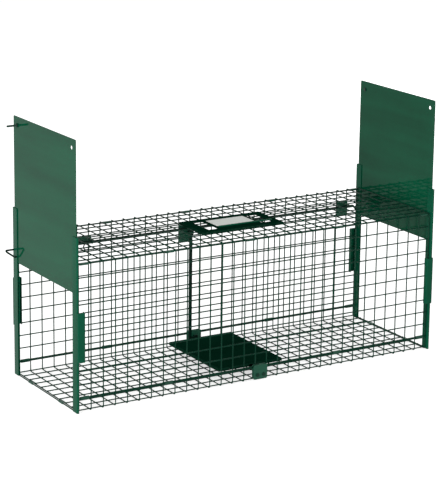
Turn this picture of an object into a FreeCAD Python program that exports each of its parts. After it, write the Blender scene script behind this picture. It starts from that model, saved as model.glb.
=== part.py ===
import FreeCAD, Part
import math
import os

# Live catch trap: a welded wire cage with a drop door at each end and a treadle in the middle.
# Origin at the middle of the footprint, on the ground. X runs along the cage, the front is -Y, Z is up.
# Millimetres throughout.

V = FreeCAD.Vector
os.makedirs("parts", exist_ok=True)

# Mesh
pitch = 25.4
cells_long = 31
cells_wide = 10
cells_high = 10
wire_d = 2.2
wire_sides = 8
pair_gap = 0.3

# Sheet metal
sheet_t = 1.0
bracket_t = 1.2
bend_r = 0.8
running_gap = 0.3
close_gap = 0.1

# Door guides and doors
guide_height = 333.0
guide_slot = 2.4
guide_cover = 12.5
guide_web_gap = 4.5
door_height = 286.0
door_raised_z = 226.0
door_closed_z = 3.6
door_corner_r = 3.0
door_hole_d = 7.0
door_hole_inset = 17.0
catch_hole_d = 5.0
catch_inset = 10.0
catch_above_edge = 12.0

# Post clamps
clamp_z0 = 98.0
clamp_z1 = 192.5
clamp_bulge = 4.0
clamp_reach = 11.0
clamp_bend_r = 1.5

# Wire clips
clip_length = 18.0
clip_t = 0.8
clip_corner = 0.64
clip_play = 0.15
clip_slit = 1.4
sill_clip_cells = 2.5
clip_cells_top = (0, 7, 14, 22, 30)
clip_cells_joint = (0, 7, 22, 30)

# Door lift studs
stud_d = 4.0
stud_out = 22.0
head_across = 7.0
head_t = 1.8
nut_across = 7.0
nut_t = 3.2

# Treadle
axle_x = -3.0
axle_z = 17.0
axle_d = 5.0
axle_play = 0.08
axle_end_play = 0.6
pan_x0 = -80.0
pan_x1 = 65.0
pan_y0 = -103.0
pan_y1 = 91.0
pan_top_z = 26.0
pan_lip = 5.0
pan_ear_w = 18.0
ear_below_axle = 3.0
ear_corner = 5.0
bracket_w = 31.0
bracket_shift_x = 1.5
bracket_over_joint = 4.6
bracket_corner = 3.0
outer_plate_z0 = 1.0
bracket_bolt_d = 4.0
bracket_bolt_span = 15.0
bracket_bolt_z = 10.0

# Trigger lever and rod
lever_x = -17.0
lever_w = 6.0
lever_t = 2.0
lever_head_w = 12.0
lever_head_h = 24.0
lever_corner = 4.0
lever_eye_wall = 3.5
lever_rod_gap = 2.25
rod_d = 3.5
rod_sides = 12
rod_z = 248.0
rod_wall_gap = 1.95
rod_travel = 14.0
peg_d = 3.0
peg_play = 0.3
peg_proud = 0.6
slot_spare = 1.0
block_across = 6.2
block_w = 8.0
hook_out = 18.0
hook_rise = 1.5
hook_turn_y = 3.2
hook_turn_z = 2.2
hook_tip_run = 4.0
cross_margin = 1.0
cross_slope = 60.0
joggle_in = 14.0
joggle_run = 7.0

# Rod guides: left edge, width, bottom, side that carries the ear
guide_wire = 9
ear_wall = 1.6
ear_half = 5.0
guide_plates = {
    "rod_guide_left": (-265.0, 28.0, 243.0, 1),
    "rod_guide_centre": (-41.0, 31.5, 220.0, 1),
    "rod_guide_right": (342.0, 26.0, 227.0, 0),
}

# Handle
handle_cells = 12
handle_w = 96.0
handle_centre_y = -12.0
handle_rise = 3.6
handle_wire_gap = 0.2
slot_w = 22.0
slot_l = 66.0
slot_x = 61.0
slot_corner_r = 6.0
tab_w = 12.0
tab_turn = 7.0
tab_cells = (-1.5, 0.5)
label_l = 84.0
label_w = 44.0
label_t = 0.8
label_corner_r = 2.0
label_shift_y = 6.0

# Derived places
wire_r = wire_d / 2
half_wall = cells_wide * pitch / 2
cage_end = cells_long * pitch / 2
long_y = half_wall - wire_d
long_in = long_y - wire_r
wall_out = half_wall + wire_r
joint_z = pitch
tray_top_wire_z = joint_z - wire_r - pair_gap / 2
wall_low_wire_z = joint_z + wire_r + pair_gap / 2
wall_top_wire_z = wall_low_wire_z + cells_high * pitch
top_cross_z = wall_top_wire_z + wire_d
mesh_top_z = top_cross_z + wire_r
top_edge_y = long_y - wire_d - pair_gap
bracket_top_z = joint_z + bracket_over_joint
long_end = cage_end + wire_r + sheet_t
flange_in = long_end
slot_x0 = flange_in + sheet_t
slot_x1 = slot_x0 + guide_slot
flange_out = slot_x1 + sheet_t
door_x = (slot_x0 + slot_x1) / 2
door_in = door_x - sheet_t / 2
door_out = door_x + sheet_t / 2
rod_out_y = wall_out + running_gap + rod_d / 2
door_half = wall_out - close_gap
web_in = door_half + guide_web_gap
web_out = web_in + sheet_t
flange_edge = door_half - guide_cover
hole_y = door_half - door_hole_inset
catch_y = door_half - catch_inset
catch_z = door_raised_z + catch_above_edge
door_top_z = door_raised_z + door_height
rod_y = long_in - bracket_t - rod_wall_gap - rod_d / 2
lever_y1 = rod_y - rod_d / 2 - lever_rod_gap
lever_y0 = lever_y1 - lever_t
handle_x = cage_end - handle_cells * pitch + wire_r + handle_wire_gap + sheet_t
handle_top_z = mesh_top_z + handle_rise


def box(x0, x1, y0, y1, z0, z1):
    low = V(min(x0, x1), min(y0, y1), min(z0, z1))
    return Part.makeBox(abs(x1 - x0), abs(y1 - y0), abs(z1 - z0), low)


def rod(start, axis, radius, length):
    return Part.makeCylinder(radius, length, start, axis)


def octagon(centre, u, v, across):
    """A wire's section, its flats square to u and v."""
    r = across / 2 / math.cos(math.pi / wire_sides)
    turns = [(i + 0.5) * 2 * math.pi / wire_sides for i in range(wire_sides)]
    return [centre + u * (r * math.cos(t)) + v * (r * math.sin(t)) for t in turns]


def straight_wire(start, end, across=wire_d):
    """A straight mesh wire along one axis."""
    along = end - start
    u = V(0, 0, 1) if abs(along.z) < 0.5 * along.Length else V(1, 0, 0)
    v = V(along).normalize().cross(u)
    ring = octagon(start, u, v, across)
    return Part.Face(Part.makePolygon(ring + ring[:1])).extrude(along)


def bent_wire(points, normal):
    """A mesh wire bent in one plane, with mitred corners."""
    rings = []
    for i, p in enumerate(points):
        before = (p - points[i - 1]).normalize() if i else None
        after = (points[i + 1] - p).normalize() if i + 1 < len(points) else None
        if before is None or after is None:
            side = (before or after).cross(normal)
        else:
            side = before.cross(normal) + after.cross(normal)
            side = side * (2 / side.dot(side))
        rings.append(octagon(p, side, normal, wire_d))
    faces = [Part.Face(Part.makePolygon(r + r[:1])) for r in (rings[0], rings[-1])]
    for a, b in zip(rings, rings[1:]):
        for k in range(wire_sides):
            n = (k + 1) % wire_sides
            faces.append(Part.Face(Part.makePolygon([a[k], a[n], b[n], b[k], a[k]])))
    return Part.Solid(Part.makeShell(faces))


def rod_runs(points, diameter):
    """A bent rod as its straight runs, which meet at mitred bends."""
    forward = (points[1] - points[0]).normalize()
    side = forward.cross(V(0, 0, 1)).normalize()
    other = forward.cross(side)
    turns = [(i + 0.5) * 2 * math.pi / rod_sides for i in range(rod_sides)]
    ring = [points[0] + (side * math.cos(t) + other * math.sin(t)) * (diameter / 2) for t in turns]
    runs = []
    for i in range(1, len(points)):
        forward = (points[i] - points[i - 1]).normalize()
        onward = (points[i + 1] - points[i]).normalize() if i + 1 < len(points) else forward
        normal = forward + onward
        ahead = [p + forward * ((points[i] - p).dot(normal) / forward.dot(normal)) for p in ring]
        faces = [Part.Face(Part.makePolygon(r + r[:1])) for r in (ring, ahead)]
        for k in range(rod_sides):
            n = (k + 1) % rod_sides
            faces.append(Part.Face(Part.makePolygon([ring[k], ring[n], ahead[n], ahead[k], ring[k]])))
        runs.append(Part.Solid(Part.makeShell(faces)))
        ring = ahead
    return runs


def sheet_profile(points, z0, z1):
    """A folded sheet drawn in plan and pulled up."""
    flat = [V(x, y, z0) for x, y in points]
    return Part.Face(Part.makePolygon(flat + flat[:1])).extrude(V(0, 0, z1 - z0))


def edges_along(shape, axis):
    """The straight edges that run along one axis."""
    found = []
    for e in shape.Edges:
        span = e.Vertexes[-1].Point - e.Vertexes[0].Point
        if abs(span.dot(axis)) > 0.99 * e.Length:
            found.append(e)
    return found


def rounded_plate(x0, x1, y0, y1, z0, thickness, radius):
    plate = box(x0, x1, y0, y1, z0, z0 + thickness)
    return plate.makeFillet(radius, edges_along(plate, V(0, 0, 1)))


def mirror_x(shape):
    return shape.mirror(V(0, 0, 0), V(1, 0, 0))


def mirror_y(shape):
    return shape.mirror(V(0, 0, 0), V(0, 1, 0))


def save(name, shapes):
    shapes = shapes if isinstance(shapes, list) else [shapes]
    solids = [s for shape in shapes for s in shape.Solids]
    whole = Part.makeCompound(solids) if len(solids) > 1 else solids[0]
    whole.exportStep("parts/" + name + ".step")


def wire_x(i):
    return -cage_end + i * pitch


# Cage floor: a tray of mesh whose cross wires turn up one cell at the front and back.
tray = []
for i in range(cells_long + 1):
    x = wire_x(i)
    top = tray_top_wire_z + wire_r
    corners = [V(x, -half_wall, top), V(x, -half_wall, wire_r), V(x, half_wall, wire_r), V(x, half_wall, top)]
    tray.append(bent_wire(corners, V(1, 0, 0)))
inner_rows = [(j - cells_wide / 2) * pitch for j in range(1, int(cells_wide))]
tray_lines = [(y, wire_r + wire_d) for y in inner_rows]
tray_lines += [(s * long_y, z) for s in (-1, 1) for z in (wire_r + wire_d, tray_top_wire_z)]
for y, z in tray_lines:
    tray.append(straight_wire(V(-long_end, y, z), V(long_end, y, z)))
save("floor_tray", tray)

# Front and back walls: upright wires outside, long wires inside.
wall = []
for i in range(cells_long + 1):
    foot = V(wire_x(i), -half_wall, wall_low_wire_z - wire_r)
    wall.append(straight_wire(foot, V(foot.x, foot.y, wall_top_wire_z + wire_r)))
for k in range(cells_high + 1):
    z = wall_low_wire_z + k * pitch
    wall.append(straight_wire(V(-long_end, -long_y, z), V(long_end, -long_y, z)))
save("front_panel", wall)
save("back_panel", [mirror_y(w) for w in wall])

# Top: cross wires lie on the walls' top wires.
top = []
for i in range(cells_long + 1):
    x = wire_x(i)
    top.append(straight_wire(V(x, -half_wall, top_cross_z), V(x, half_wall, top_cross_z)))
for y in inner_rows + [-top_edge_y, top_edge_y]:
    top.append(straight_wire(V(-long_end, y, wall_top_wire_z), V(long_end, y, wall_top_wire_z)))
save("top_panel", top)


def wire_clip(x, y0, z0, y1, z1):
    """A strip of sheet wrapped round two neighbouring long wires."""
    inner = wire_r + clip_play
    outer = inner + clip_t
    x0 = x - clip_length / 2
    x1 = x + clip_length / 2
    middle_y = (y0 + y1) / 2
    middle_z = (z0 + z1) / 2
    half = clip_slit / 2
    shell = box(x0, x1, y0 - outer, y1 + outer, z0 - outer, z1 + outer)
    shell = shell.makeChamfer(clip_corner, edges_along(shell, V(1, 0, 0)))
    shell = shell.cut(box(x0, x1, y0 - inner, y1 + inner, z0 - inner, z1 + inner))
    if y1 > y0:
        return shell.cut(box(x0, x1, middle_y - half, middle_y + half, z0, z0 - 2 * outer))
    return shell.cut(box(x0, x1, y0, y0 - 2 * outer, middle_z - half, middle_z + half))


# Clips that hold the panels together along their edges.
clips = []
for i in clip_cells_top:
    c = wire_clip(wire_x(i + 0.5), top_edge_y, wall_top_wire_z, long_y, wall_top_wire_z)
    clips += [c, mirror_y(c)]
for i in clip_cells_joint:
    c = wire_clip(wire_x(i + 0.5), long_y, tray_top_wire_z, long_y, wall_low_wire_z)
    clips += [c, mirror_y(c)]
save("edge_clips", clips)

# Door guides: a folded channel at each corner, open towards the door's edge.
outline = [
    (-flange_in, flange_edge), (-flange_in, web_out), (-flange_out, web_out), (-flange_out, flange_edge),
    (-slot_x1, flange_edge), (-slot_x1, web_in), (-slot_x0, web_in), (-slot_x0, flange_edge),
]
plain_guide = sheet_profile(outline, 0, guide_height)
bends = [e for e in edges_along(plain_guide, V(0, 0, 1)) if e.Vertexes[0].Y > web_in + sheet_t / 2]
plain_guide = plain_guide.makeFillet(bend_r, bends)
rod_hole_z = rod_z + hook_rise
hole_start = V(-flange_out - sheet_t, rod_out_y, rod_hole_z)
rod_hole = rod(hole_start, V(1, 0, 0), rod_d / 2 + close_gap, 3 * guide_slot)
notch_half = rod_d / 2 + running_gap


def tip_notch(x0, x1):
    """A notch in a flange's edge that the rod's tip passes through."""
    y0 = flange_edge - sheet_t
    return box(x0, x1, y0, catch_y + notch_half, catch_z - notch_half, catch_z + notch_half)


left_back = plain_guide.cut(rod_hole).cut(tip_notch(-flange_out - sheet_t, -slot_x1))
right_back = plain_guide.cut(tip_notch(-slot_x0, -flange_in + sheet_t))


def folds_of(guide):
    """A folded channel as its two flanges and its web, which meet at the bends and leave the slot open."""
    outer = guide.common(box(-flange_out, -slot_x1, flange_edge, web_in, 0, guide_height))
    inner = guide.common(box(-slot_x0, -flange_in, flange_edge, web_in, 0, guide_height))
    return [outer, inner, guide.common(box(-flange_out, -flange_in, web_in, web_out, 0, guide_height))]


plain_folds = folds_of(plain_guide)
save("guide_left_back", folds_of(left_back))
save("guide_right_back", [mirror_x(fold) for fold in folds_of(right_back)])
save("guide_left_front", [mirror_y(fold) for fold in plain_folds])
save("guide_right_front", [mirror_x(mirror_y(fold)) for fold in plain_folds])

# Post clamps: a folded strip on each guide that closes over the end of the wall's long wires.
clamp_x1 = -flange_in + clamp_reach
clamp_y1 = web_out + clamp_bulge
clamp_outline = [
    (-flange_out, web_out), (-flange_out, clamp_y1), (clamp_x1, clamp_y1), (clamp_x1, wall_out + pair_gap),
    (clamp_x1 - sheet_t, wall_out + pair_gap), (clamp_x1 - sheet_t, clamp_y1 - sheet_t),
    (-flange_out + sheet_t, clamp_y1 - sheet_t), (-flange_out + sheet_t, web_out),
]
clamp = sheet_profile(clamp_outline, clamp_z0, clamp_z1)
turned = [e for e in edges_along(clamp, V(0, 0, 1)) if e.Vertexes[0].Y > clamp_y1 - sheet_t / 2]
clamp = clamp.makeFillet(clamp_bend_r, turned)
save("post_clamps", [clamp, mirror_x(clamp), mirror_y(clamp), mirror_x(mirror_y(clamp))])

# Sills: a wire across each end under the door, clipped to the tray's end wire.
sill = straight_wire(V(-door_x, close_gap - web_in, wire_r), V(-door_x, web_in - close_gap, wire_r))
save("left_sill", sill)
save("right_sill", mirror_x(sill))
sill_clips = []
inner = wire_r + clip_play
outer = inner + clip_t
for cell in (-sill_clip_cells, sill_clip_cells):
    y0 = cell * pitch - clip_length / 2
    y1 = y0 + clip_length
    band = box(-door_x - outer, -cage_end + outer, y0, y1, 0, wire_r + outer)
    band = band.cut(box(-door_x - inner, -cage_end + inner, y0, y1, 0, wire_r + inner))
    sill_clips += [band, mirror_x(band)]
save("sill_clips", sill_clips)


def x_hole(shape, x, y, z, diameter):
    return shape.cut(rod(V(x - sheet_t, y, z), V(1, 0, 0), diameter / 2, 2 * sheet_t))


# Doors: flat sheets raised in their guides, with a hole near each top corner and one for the catch.
door = box(-door_out, -door_in, -door_half, door_half, door_raised_z, door_top_z)
upper = [e for e in edges_along(door, V(1, 0, 0)) if e.Vertexes[0].Z > door_raised_z + door_corner_r]
door = door.makeFillet(door_corner_r, upper)
stud_z = door_top_z - door_hole_inset
door = x_hole(door, -door_x, -hole_y, stud_z, door_hole_d)
door = x_hole(door, -door_x, hole_y, stud_z, stud_d)
door = x_hole(door, -door_x, catch_y, catch_z, catch_hole_d)
save("left_door", door)
save("right_door", mirror_x(door))


def hexagon(centre, axis, across, thickness):
    """A hexagon block whose first face is at centre."""
    side = V(0, 0, 1)
    other = axis.cross(side)
    r = across / 2 / math.cos(math.pi / 6)
    turns = [i * math.pi / 3 for i in range(6)]
    ring = [centre + side * (r * math.cos(t)) + other * (r * math.sin(t)) for t in turns]
    return Part.Face(Part.makePolygon(ring + ring[:1])).extrude(axis * thickness)


# Lift studs: a screw through the door's back top corner, held by a nut, to pull the door up by.
shank = rod(V(-door_out - stud_out, hole_y, stud_z), V(1, 0, 0), stud_d / 2, stud_out + sheet_t)
stud = shank.fuse(hexagon(V(-door_in, hole_y, stud_z), V(1, 0, 0), head_across, head_t)).removeSplitter()
stud_nut = hexagon(V(-door_out, hole_y, stud_z), V(-1, 0, 0), nut_across, nut_t).cut(shank)
save("left_lift_stud", stud)
save("right_lift_stud", mirror_x(stud))
save("left_stud_nut", stud_nut)
save("right_stud_nut", mirror_x(stud_nut))

# Treadle pan: a sheet with its four edges folded down, and an ear at the front and back for the axle.
pan_z0 = pan_top_z - pan_lip - sheet_t
pan = box(pan_x0, pan_x1, pan_y0, pan_y1, pan_z0, pan_top_z)
inset = (pan_x0 + sheet_t, pan_x1 - sheet_t, pan_y0 + sheet_t, pan_y1 - sheet_t)
under = box(*inset, pan_z0, pan_top_z - sheet_t)
pan = pan.cut(under)
ear_foot = axle_z - axle_d / 2 - ear_below_axle
for y in (pan_y0, pan_y1 - sheet_t):
    ear = box(axle_x - pan_ear_w / 2, axle_x + pan_ear_w / 2, y, y + sheet_t, ear_foot, pan_top_z - sheet_t)
    lower = [e for e in edges_along(ear, V(0, 1, 0)) if e.Vertexes[0].Z < axle_z]
    pan = pan.fuse(ear.makeChamfer(ear_corner, lower))
pan = pan.removeSplitter()
axle_y = wall_out - axle_end_play
axle = rod(V(axle_x, -axle_y, axle_z), V(0, 1, 0), axle_d / 2, 2 * axle_y)
save("treadle_pan", pan.cut(axle))
save("treadle_axle", axle)

# Axle brackets: a plate inside each wall carries the axle, bolted through the mesh to a plate outside
# that also stops the axle's end.
bracket_y0 = long_in - bracket_t
bracket_x = axle_x + bracket_shift_x
plate_x0 = bracket_x - bracket_w / 2
plate_x1 = plate_x0 + bracket_w
inner_plate = box(plate_x0, plate_x1, bracket_y0, long_in, wire_d + close_gap, bracket_top_z)
outer_plate = box(plate_x0, plate_x1, wall_out, wall_out + bracket_t, outer_plate_z0, bracket_top_z)
inner_plate = inner_plate.makeChamfer(bracket_corner, edges_along(inner_plate, V(0, 1, 0)))
outer_plate = outer_plate.makeChamfer(bracket_corner, edges_along(outer_plate, V(0, 1, 0)))
axle_hole = rod(V(axle_x, bracket_y0, axle_z), V(0, 1, 0), axle_d / 2 + axle_play, bracket_t)
inner_plate = inner_plate.cut(axle_hole)
bolts = []
nuts = []
for x in (bracket_x - bracket_bolt_span / 2, bracket_x + bracket_bolt_span / 2):
    tip = V(x, bracket_y0 - nut_t, bracket_bolt_z)
    under_head = V(x, wall_out + bracket_t, bracket_bolt_z)
    bolt_shank = straight_wire(tip, under_head, bracket_bolt_d)
    bolts.append(bolt_shank.fuse(hexagon(under_head, V(0, 1, 0), head_across, head_t)).removeSplitter())
    nuts.append(hexagon(V(x, bracket_y0, bracket_bolt_z), V(0, -1, 0), nut_across, nut_t).cut(bolt_shank))
    inner_plate = inner_plate.cut(bolt_shank)
    outer_plate = outer_plate.cut(bolt_shank)
save("axle_bracket_back", inner_plate)
save("axle_bracket_front", mirror_y(inner_plate))
save("clamp_plate_back", outer_plate)
save("clamp_plate_front", mirror_y(outer_plate))
save("bracket_bolts", bolts + [mirror_y(b) for b in bolts])
save("bracket_nuts", nuts + [mirror_y(n) for n in nuts])

# Trigger lever: a flat strip fixed to the axle, standing along the back wall up to the rod.
foot_x0 = lever_x - lever_w / 2
lever = rod(V(axle_x, lever_y0, axle_z), V(0, 1, 0), axle_d / 2 + lever_eye_wall, lever_t)
lever = lever.fuse(box(foot_x0, axle_x, lever_y0, lever_y1, axle_z - lever_w / 2, axle_z + lever_w / 2))
lever = lever.fuse(box(foot_x0, foot_x0 + lever_w, lever_y0, lever_y1, axle_z - lever_w / 2, rod_z))
head_x0 = lever_x - lever_head_w / 2
head_z0 = rod_z - lever_head_h / 2
head = box(head_x0, head_x0 + lever_head_w, lever_y0, lever_y1, head_z0, head_z0 + lever_head_h)
lever = lever.fuse(head.makeChamfer(lever_corner, edges_along(head, V(0, 1, 0)))).removeSplitter()
swing = rod_travel / (rod_z - axle_z)
slot_drop = abs(lever_x - axle_x) * math.sin(swing) + (rod_z - axle_z) * (1 - math.cos(swing))
slot_half_w = peg_d / 2 + peg_play
slot_half_h = peg_d / 2 + slot_drop + slot_spare
slot_x0_lever = lever_x - slot_half_w
slot_x1_lever = lever_x + slot_half_w
peg_slot = box(slot_x0_lever, slot_x1_lever, lever_y0, lever_y1, rod_z - slot_half_h, rod_z + slot_half_h)
save("trigger_lever", lever.cut(peg_slot).cut(axle))

# Trigger rod: runs along the back wall. Its hooked left end comes back in from outside the left door,
# and its right end points out at the right door, so one pull to the left frees both doors. The hook,
# the long run and the right end are saved apart, each as its straight runs.
cross_x = wire_x(1) - wire_r - running_gap - rod_d / 2 - cross_margin
cross_dx = (rod_out_y - rod_y) / math.tan(math.radians(cross_slope))
hook_x = -door_out - hook_out
joggle_x = cage_end - joggle_in
rod_points = [
    V(-door_out - running_gap, catch_y, catch_z),
    V(-flange_out - hook_tip_run, catch_y, catch_z),
    V(hook_x, rod_out_y - hook_turn_y, rod_hole_z - hook_turn_z),
    V(hook_x, rod_out_y, rod_hole_z),
    V(cross_x - cross_dx / 2, rod_out_y, rod_hole_z),
    V(cross_x + cross_dx / 2, rod_y, rod_z),
    V(joggle_x, rod_y, rod_z),
    V(joggle_x + joggle_run, catch_y, catch_z),
    V(door_in - running_gap, catch_y, catch_z),
]
runs = rod_runs(rod_points, rod_d)
main_run = rod_points.index(V(joggle_x, rod_y, rod_z)) - 1
save("rod_left_hook", runs[:main_run])
save("trigger_rod", runs[main_run])
save("rod_right_end", runs[main_run + 1:])

# Peg block: fixed on the rod, its peg stands in the lever's slot.
half_block = block_across / 2
block_x0 = lever_x - block_w / 2
block_y0 = rod_y - half_block
block_z0 = rod_z - half_block
block = Part.makeBox(block_w, block_across, block_across, V(block_x0, block_y0, block_z0))
block = block.cut(rod(V(block_x0, rod_y, rod_z), V(1, 0, 0), rod_d / 2, block_w))
peg = straight_wire(V(lever_x, rod_y - half_block, rod_z), V(lever_x, lever_y0 - peg_proud, rod_z), peg_d)
save("rod_peg_block", block.fuse(peg).removeSplitter())

# Rod guides: a plate hooked over a long wire of the back wall, with an ear that the rod runs through.
hook_wire_z = wall_low_wire_z + guide_wire * pitch
guide_top_z = hook_wire_z + wire_r + close_gap
for name, (x0, width, z0, ear_side) in guide_plates.items():
    x1 = x0 + width
    plate = box(x0, x1, long_in - bracket_t, long_in, z0, guide_top_z + bracket_t)
    lip = box(x0, x1, long_in, long_y + wire_r - close_gap, guide_top_z, guide_top_z + bracket_t)
    ear_x = x1 - bracket_t if ear_side else x0
    ear_y0 = rod_y - rod_d / 2 - ear_wall
    ear = box(ear_x, ear_x + bracket_t, ear_y0, long_in - bracket_t, rod_z - ear_half, rod_z + ear_half)
    body = plate.fuse(lip).fuse(ear).removeSplitter()
    save(name, body.cut(rod(V(ear_x, rod_y, rod_z), V(1, 0, 0), rod_d / 2 + close_gap, bracket_t)))

# Handle: a plate with folded edges on the top mesh, two finger slots, and tabs folded under two cross wires.
y0 = handle_centre_y - handle_w / 2
y1 = handle_centre_y + handle_w / 2
handle = box(-handle_x, handle_x, y0, y1, mesh_top_z, handle_top_z)
inside_x = handle_x - sheet_t
handle = handle.cut(box(-inside_x, inside_x, y0 + sheet_t, y1 - sheet_t, mesh_top_z, handle_top_z - sheet_t))
slot_y0 = handle_centre_y - slot_l / 2
slot_y1 = slot_y0 + slot_l
for x0 in (-slot_x - slot_w / 2, slot_x - slot_w / 2):
    opening = rounded_plate(x0, x0 + slot_w, slot_y0, slot_y1, mesh_top_z, 2 * handle_rise, slot_corner_r)
    handle = handle.cut(opening)
tab_low = top_cross_z - wire_r - close_gap - sheet_t
for cell in tab_cells:
    tab_y0 = cell * pitch - tab_w / 2
    tab_y1 = tab_y0 + tab_w
    for s in (-1, 1):
        drop = box(s * handle_x, s * (handle_x - sheet_t), tab_y0, tab_y1, tab_low, mesh_top_z)
        turn = box(s * handle_x, s * (handle_x - tab_turn), tab_y0, tab_y1, tab_low, tab_low + sheet_t)
        handle = handle.fuse(drop).fuse(turn)
save("handle_plate", handle.removeSplitter())

# Label plate: bare, on the grip between the finger slots.
label_y0 = handle_centre_y + label_shift_y - label_w / 2
label_y1 = label_y0 + label_w
label = rounded_plate(-label_l / 2, label_l / 2, label_y0, label_y1, handle_top_z, label_t, label_corner_r)
save("label_plate", label)

print("lever swing in degrees", round(math.degrees(swing), 3))
print("rod travel per radian", rod_z - axle_z)
print("door travel", door_raised_z - door_closed_z)
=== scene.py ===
import math

import bpy
import bmesh
from mathutils import Vector, Matrix
from mathutils.geometry import tessellate_polygon


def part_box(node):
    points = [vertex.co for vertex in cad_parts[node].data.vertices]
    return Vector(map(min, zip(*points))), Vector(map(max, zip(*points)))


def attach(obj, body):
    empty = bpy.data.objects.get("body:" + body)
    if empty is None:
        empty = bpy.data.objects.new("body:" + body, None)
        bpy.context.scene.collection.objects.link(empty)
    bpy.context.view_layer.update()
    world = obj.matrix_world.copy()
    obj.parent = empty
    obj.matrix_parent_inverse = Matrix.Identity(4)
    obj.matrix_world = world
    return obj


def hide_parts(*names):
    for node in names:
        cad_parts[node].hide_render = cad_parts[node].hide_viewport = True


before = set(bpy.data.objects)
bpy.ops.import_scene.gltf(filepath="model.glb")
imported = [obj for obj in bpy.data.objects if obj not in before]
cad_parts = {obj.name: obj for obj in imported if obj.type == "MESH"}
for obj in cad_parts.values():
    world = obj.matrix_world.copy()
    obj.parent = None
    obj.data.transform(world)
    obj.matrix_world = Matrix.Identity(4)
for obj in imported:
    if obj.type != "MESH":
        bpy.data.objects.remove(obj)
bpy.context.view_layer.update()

MM = 0.001


# Mesh walls: four welded panels of round steel wire on a 25.4 mm pitch, the front, the back, the
# top, and a floor tray whose cross wires turn up at both sides. Every crossing is a resistance
# weld, and one green powder coat covers wires and welds.

PITCH = 25.4 * MM
WIRE_R = 1.1 * MM
COATED_R = 1.19 * MM  # the wires of the walls and the top with their coat
WIRE_SIDES = 12
LONG, WIDE, HIGH = 31, 10, 10  # cells along the cage, across it, and up a wall
HALF_LONG = LONG * PITCH / 2
HALF_WIDE = WIDE * PITCH / 2
TRAY_BEND = 3.2 * MM
X, Y, Z = Vector((1, 0, 0)), Vector((0, 1, 0)), Vector((0, 0, 1))


def coat_group():
    """A powder coat's colour, roughness and height, with painted reflection, orange peel and rubbed
    spots.
    """
    g = bpy.data.node_groups.new("powder coat", "ShaderNodeTree")
    face = g.interface
    for name, value in (("Coat", (0.02, 0.1, 0.06, 1)), ("Rubbed", (0.1, 0.2, 0.15, 1))):
        face.new_socket(name, in_out="INPUT", socket_type="NodeSocketColor").default_value = value
    for name, value in (("Gloss", 0.2), ("Mottle", 0.15), ("Peel", 1.0), ("Wear", 0.3),
                        ("Edge", 0.0), ("Painted reflection", 0.0)):
        face.new_socket(name, in_out="INPUT", socket_type="NodeSocketFloat").default_value = value
    for name, kind in (("Colour", "Color"), ("Roughness", "Float"), ("Height", "Float")):
        face.new_socket(name, in_out="OUTPUT", socket_type="NodeSocket" + kind)
    n, link = g.nodes, g.links.new
    i, o = n.new("NodeGroupInput"), n.new("NodeGroupOutput")
    place = n.new("ShaderNodeTexCoord").outputs["Object"]

    def noise(scale, detail=2.0, rough=0.5, place=place):
        t = n.new("ShaderNodeTexNoise")
        t.inputs["Scale"].default_value = scale
        t.inputs["Detail"].default_value = detail
        t.inputs["Roughness"].default_value = rough
        link(place, t.inputs["Vector"])
        return t.outputs["Fac"]

    def maths(kind, a, b=None, clamp=False):
        m = n.new("ShaderNodeMath")
        m.operation, m.use_clamp = kind, clamp
        for socket, value in zip(m.inputs, (a, b)):
            if isinstance(value, (int, float)):
                socket.default_value = value
            elif value is not None:
                link(value, socket)
        return m.outputs[0]

    def spread(value, low, high, to_low=0.0, to_high=1.0):
        r = n.new("ShaderNodeMapRange")
        link(value, r.inputs["Value"])
        for key, number in (("From Min", low), ("From Max", high),
                            ("To Min", to_low), ("To Max", to_high)):
            r.inputs[key].default_value = number
        return r.outputs["Result"]

    cloud = spread(noise(14.0, detail=3.0, rough=0.6), 0.3, 0.7, -1.0, 1.0)
    grain = spread(noise(240.0, rough=0.7), 0.25, 0.75, -1.0, 1.0)
    shade = maths("MULTIPLY_ADD", cloud, i.outputs["Mottle"])
    shade.node.inputs[2].default_value = 1.0
    shade = maths("ADD", shade, maths("MULTIPLY", grain, 0.05))
    # Painted reflection: lighter and darker bands that lie level across a sheet, standing in for a
    # glossy sheet's reflections; the pattern is stretched along X and, more, along Y.
    flattened = n.new("ShaderNodeVectorMath")
    flattened.operation = "MULTIPLY"
    link(place, flattened.inputs[0])
    flattened.inputs[1].default_value = (0.4, 0.12, 1.0)
    level_noise = noise(22.0, rough=0.45, place=flattened.outputs[0])
    painted_reflection = spread(level_noise, 0.35, 0.65, -1.0, 1.0)
    shade = maths("ADD", shade, maths("MULTIPLY", painted_reflection, i.outputs["Painted reflection"]))
    scuff = spread(noise(85.0, detail=4.0, rough=0.75), 0.64, 0.74)
    rub = maths("MULTIPLY", scuff, i.outputs["Wear"], True)
    edge_spots = spread(noise(160.0, detail=3.0, rough=0.7), 0.42, 0.62)
    rub = maths("MAXIMUM", rub, maths("MULTIPLY", edge_spots, i.outputs["Edge"]), True)

    tint = n.new("ShaderNodeVectorMath")
    tint.operation = "SCALE"
    link(i.outputs["Coat"], tint.inputs[0])
    link(shade, tint.inputs["Scale"])
    mix = n.new("ShaderNodeMix")
    mix.data_type = "RGBA"
    link(rub, mix.inputs["Factor"])
    link(tint.outputs[0], mix.inputs["A"])
    link(i.outputs["Rubbed"], mix.inputs["B"])
    link(mix.outputs["Result"], o.inputs["Colour"])

    rough = maths("ADD", i.outputs["Gloss"], maths("MULTIPLY", cloud, 0.03))
    rough = maths("ADD", rough, maths("MULTIPLY", rub, 0.25), True)
    link(rough, o.inputs["Roughness"])
    peel = maths("MULTIPLY", noise(620.0, rough=0.55), i.outputs["Peel"])
    slow_wave = noise(26.0, detail=1.0, rough=0.4)
    wave = maths("MULTIPLY", slow_wave, maths("MULTIPLY", i.outputs["Peel"], 2.2))
    height = maths("SUBTRACT", maths("ADD", peel, wave), maths("MULTIPLY", rub, 0.5))
    link(height, o.inputs["Height"])
    return g


COAT = coat_group()


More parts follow.
